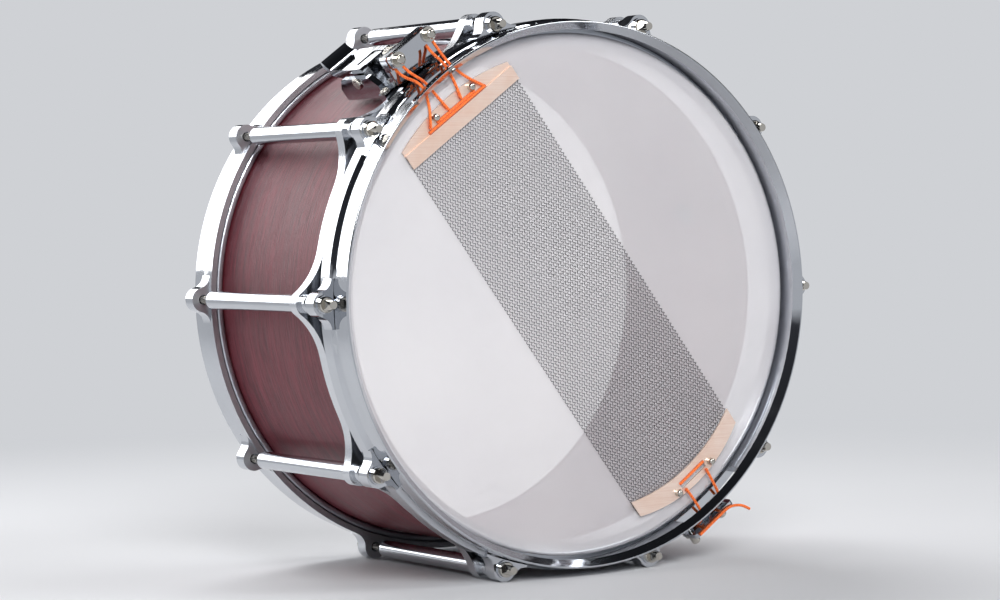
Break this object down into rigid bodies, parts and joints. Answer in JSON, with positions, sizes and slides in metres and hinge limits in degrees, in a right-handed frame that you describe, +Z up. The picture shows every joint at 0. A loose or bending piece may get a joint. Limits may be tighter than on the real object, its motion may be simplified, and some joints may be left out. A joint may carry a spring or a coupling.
{
  "type": "snare drum",
  "caption": "Snare drum of the free-floating kind standing on its edge: wine-red wooden shell, cast ring, tube lugs, die-cast hoops, snare wires, strainer and butt.",
  "frame": {"origin": "on the floor under the middle of the drum, halfway between the two heads' planes", "axes": "the drum's own axis along Y with the snare side facing -Y, +Z up, +X to the right when the snare side is looked at"},
  "size_m": [0.4, 0.218, 0.3813],
  "materials": {
    "shell_wood": "satin wine-red stain",
    "cast_aluminium": "satin cast",
    "chrome": "polished",
    "rod_chrome": "polished",
    "film": "hazy translucent film",
    "batter_film": "coated film",
    "bright_aluminium": "bright rolled",
    "copper_plate": "rose copper, bare",
    "snare_steel": "coiled wire",
    "cord": "orange braided cord"
  },
  "bodies": {
    "drum": {"shell": "shell_wood", "air_vent": "chrome", "chassis_ring": "cast_aluminium", "snare_head": "film", "snare_flesh_hoop": "bright_aluminium", "batter_head": "batter_film", "batter_flesh_hoop": "bright_aluminium", "snare_hoop": "chrome", "batter_hoop": "chrome", "lug_bushings": "chrome", "lug_inserts": "chrome", "snare_washers": "chrome", "batter_washers": "chrome", "tube_lug_01": "chrome", "tube_lug_02": "chrome", "tube_lug_03": "chrome", "tube_lug_04": "chrome", "tube_lug_05": "chrome", "tube_lug_06": "chrome", "tube_lug_07": "chrome", "tube_lug_08": "chrome", "tube_lug_09": "chrome", "tube_lug_10": "chrome", "strainer_base": "chrome", "lever_pivot_pins": "rod_chrome", "mount_screws": "rod_chrome", "butt_block": "chrome", "butt_clamp_plate": "chrome", "butt_clamp_screws": "rod_chrome", "butt_cord": "cord"},
    "snares": {"snare_strands": "snare_steel", "strainer_end_plate": "copper_plate", "butt_end_plate": "copper_plate", "plate_screws": "rod_chrome", "strainer_cord": "cord"},
    "slider": {"strainer_slider": "chrome", "strainer_clamp_bar": "chrome", "strainer_clamp_screws": "rod_chrome"},
    "knob": {"tension_knob": "rod_chrome"},
    "lever": {"strainer_lever": "chrome"},
    "snare_rod_01_body": {"snare_rod_01": "rod_chrome"},
    "batter_rod_01_body": {"batter_rod_01": "rod_chrome"},
    "snare_rod_02_body": {"snare_rod_02": "rod_chrome"},
    "batter_rod_02_body": {"batter_rod_02": "rod_chrome"},
    "snare_rod_03_body": {"snare_rod_03": "rod_chrome"},
    "batter_rod_03_body": {"batter_rod_03": "rod_chrome"},
    "snare_rod_04_body": {"snare_rod_04": "rod_chrome"},
    "batter_rod_04_body": {"batter_rod_04": "rod_chrome"},
    "snare_rod_05_body": {"snare_rod_05": "rod_chrome"},
    "batter_rod_05_body": {"batter_rod_05": "rod_chrome"},
    "snare_rod_06_body": {"snare_rod_06": "rod_chrome"},
    "batter_rod_06_body": {"batter_rod_06": "rod_chrome"},
    "snare_rod_07_body": {"snare_rod_07": "rod_chrome"},
    "batter_rod_07_body": {"batter_rod_07": "rod_chrome"},
    "snare_rod_08_body": {"snare_rod_08": "rod_chrome"},
    "batter_rod_08_body": {"batter_rod_08": "rod_chrome"},
    "snare_rod_09_body": {"snare_rod_09": "rod_chrome"},
    "batter_rod_09_body": {"batter_rod_09": "rod_chrome"},
    "snare_rod_10_body": {"snare_rod_10": "rod_chrome"},
    "batter_rod_10_body": {"batter_rod_10": "rod_chrome"}
  },
  "joints": [
    {"name": "throw_off", "type": "hinge", "parent": "drum", "child": "lever", "pos_m": [-0.11371, -0.0325, 0.34713], "axis": [0.809, 0, 0.5878], "range_deg": [0, 100]},
    {"name": "slider_travel", "type": "slide", "parent": "drum", "child": "slider", "axis": [0, -1, 0], "range_m": [0, 0.00475]},
    {"name": "snare_drop", "type": "hinge", "parent": "drum", "child": "snares", "pos_m": [0.0924, -0.09795, 0.06345], "axis": [0.809, 0, 0.5878], "range_deg": [0, 0.74996]},
    {"name": "knob_turn", "type": "hinge", "parent": "slider", "child": "knob", "pos_m": [-0.12614, -0.0767, 0.35318], "axis": [0, -1, 0], "continuous": true},
    {"name": "snare_tune_01", "type": "hinge", "parent": "drum", "child": "snare_rod_01_body", "pos_m": [0.1915, -0.0925, 0.19063], "axis": [0, -1, 0], "continuous": true},
    {"name": "batter_tune_01", "type": "hinge", "parent": "drum", "child": "batter_rod_01_body", "pos_m": [0.1915, 0.0925, 0.19063], "axis": [0, 1, 0], "continuous": true},
    {"name": "snare_tune_02", "type": "hinge", "parent": "drum", "child": "snare_rod_02_body", "pos_m": [0.15493, -0.0925, 0.30319], "axis": [0, -1, 0], "continuous": true},
    {"name": "batter_tune_02", "type": "hinge", "parent": "drum", "child": "batter_rod_02_body", "pos_m": [0.15493, 0.0925, 0.30319], "axis": [0, 1, 0], "continuous": true},
    {"name": "snare_tune_03", "type": "hinge", "parent": "drum", "child": "snare_rod_03_body", "pos_m": [0.05918, -0.0925, 0.37276], "axis": [0, -1, 0], "continuous": true},
    {"name": "batter_tune_03", "type": "hinge", "parent": "drum", "child": "batter_rod_03_body", "pos_m": [0.05918, 0.0925, 0.37276], "axis": [0, 1, 0], "continuous": true},
    {"name": "snare_tune_04", "type": "hinge", "parent": "drum", "child": "snare_rod_04_body", "pos_m": [-0.05918, -0.0925, 0.37276], "axis": [0, -1, 0], "continuous": true},
    {"name": "batter_tune_04", "type": "hinge", "parent": "drum", "child": "batter_rod_04_body", "pos_m": [-0.05918, 0.0925, 0.37276], "axis": [0, 1, 0], "continuous": true},
    {"name": "snare_tune_05", "type": "hinge", "parent": "drum", "child": "snare_rod_05_body", "pos_m": [-0.15493, -0.0925, 0.30319], "axis": [0, -1, 0], "continuous": true},
    {"name": "batter_tune_05", "type": "hinge", "parent": "drum", "child": "batter_rod_05_body", "pos_m": [-0.15493, 0.0925, 0.30319], "axis": [0, 1, 0], "continuous": true},
    {"name": "snare_tune_06", "type": "hinge", "parent": "drum", "child": "snare_rod_06_body", "pos_m": [-0.1915, -0.0925, 0.19063], "axis": [0, -1, 0], "continuous": true},
    {"name": "batter_tune_06", "type": "hinge", "parent": "drum", "child": "batter_rod_06_body", "pos_m": [-0.1915, 0.0925, 0.19063], "axis": [0, 1, 0], "continuous": true},
    {"name": "snare_tune_07", "type": "hinge", "parent": "drum", "child": "snare_rod_07_body", "pos_m": [-0.15493, -0.0925, 0.07807], "axis": [0, -1, 0], "continuous": true},
    {"name": "batter_tune_07", "type": "hinge", "parent": "drum", "child": "batter_rod_07_body", "pos_m": [-0.15493, 0.0925, 0.07807], "axis": [0, 1, 0], "continuous": true},
    {"name": "snare_tune_08", "type": "hinge", "parent": "drum", "child": "snare_rod_08_body", "pos_m": [-0.05918, -0.0925, 0.0085], "axis": [0, -1, 0], "continuous": true},
    {"name": "batter_tune_08", "type": "hinge", "parent": "drum", "child": "batter_rod_08_body", "pos_m": [-0.05918, 0.0925, 0.0085], "axis": [0, 1, 0], "continuous": true},
    {"name": "snare_tune_09", "type": "hinge", "parent": "drum", "child": "snare_rod_09_body", "pos_m": [0.05918, -0.0925, 0.0085], "axis": [0, -1, 0], "continuous": true},
    {"name": "batter_tune_09", "type": "hinge", "parent": "drum", "child": "batter_rod_09_body", "pos_m": [0.05918, 0.0925, 0.0085], "axis": [0, 1, 0], "continuous": true},
    {"name": "snare_tune_10", "type": "hinge", "parent": "drum", "child": "snare_rod_10_body", "pos_m": [0.15493, -0.0925, 0.07807], "axis": [0, -1, 0], "continuous": true},
    {"name": "batter_tune_10", "type": "hinge", "parent": "drum", "child": "batter_rod_10_body", "pos_m": [0.15493, 0.0925, 0.07807], "axis": [0, 1, 0], "continuous": true}
  ],
  "couplings": [
    {"joint": "slider_travel", "follows": "throw_off", "m_per_rad": 0.0027212},
    {"joint": "snare_drop", "follows": "throw_off", "ratio": 0.0074997}
  ]
}
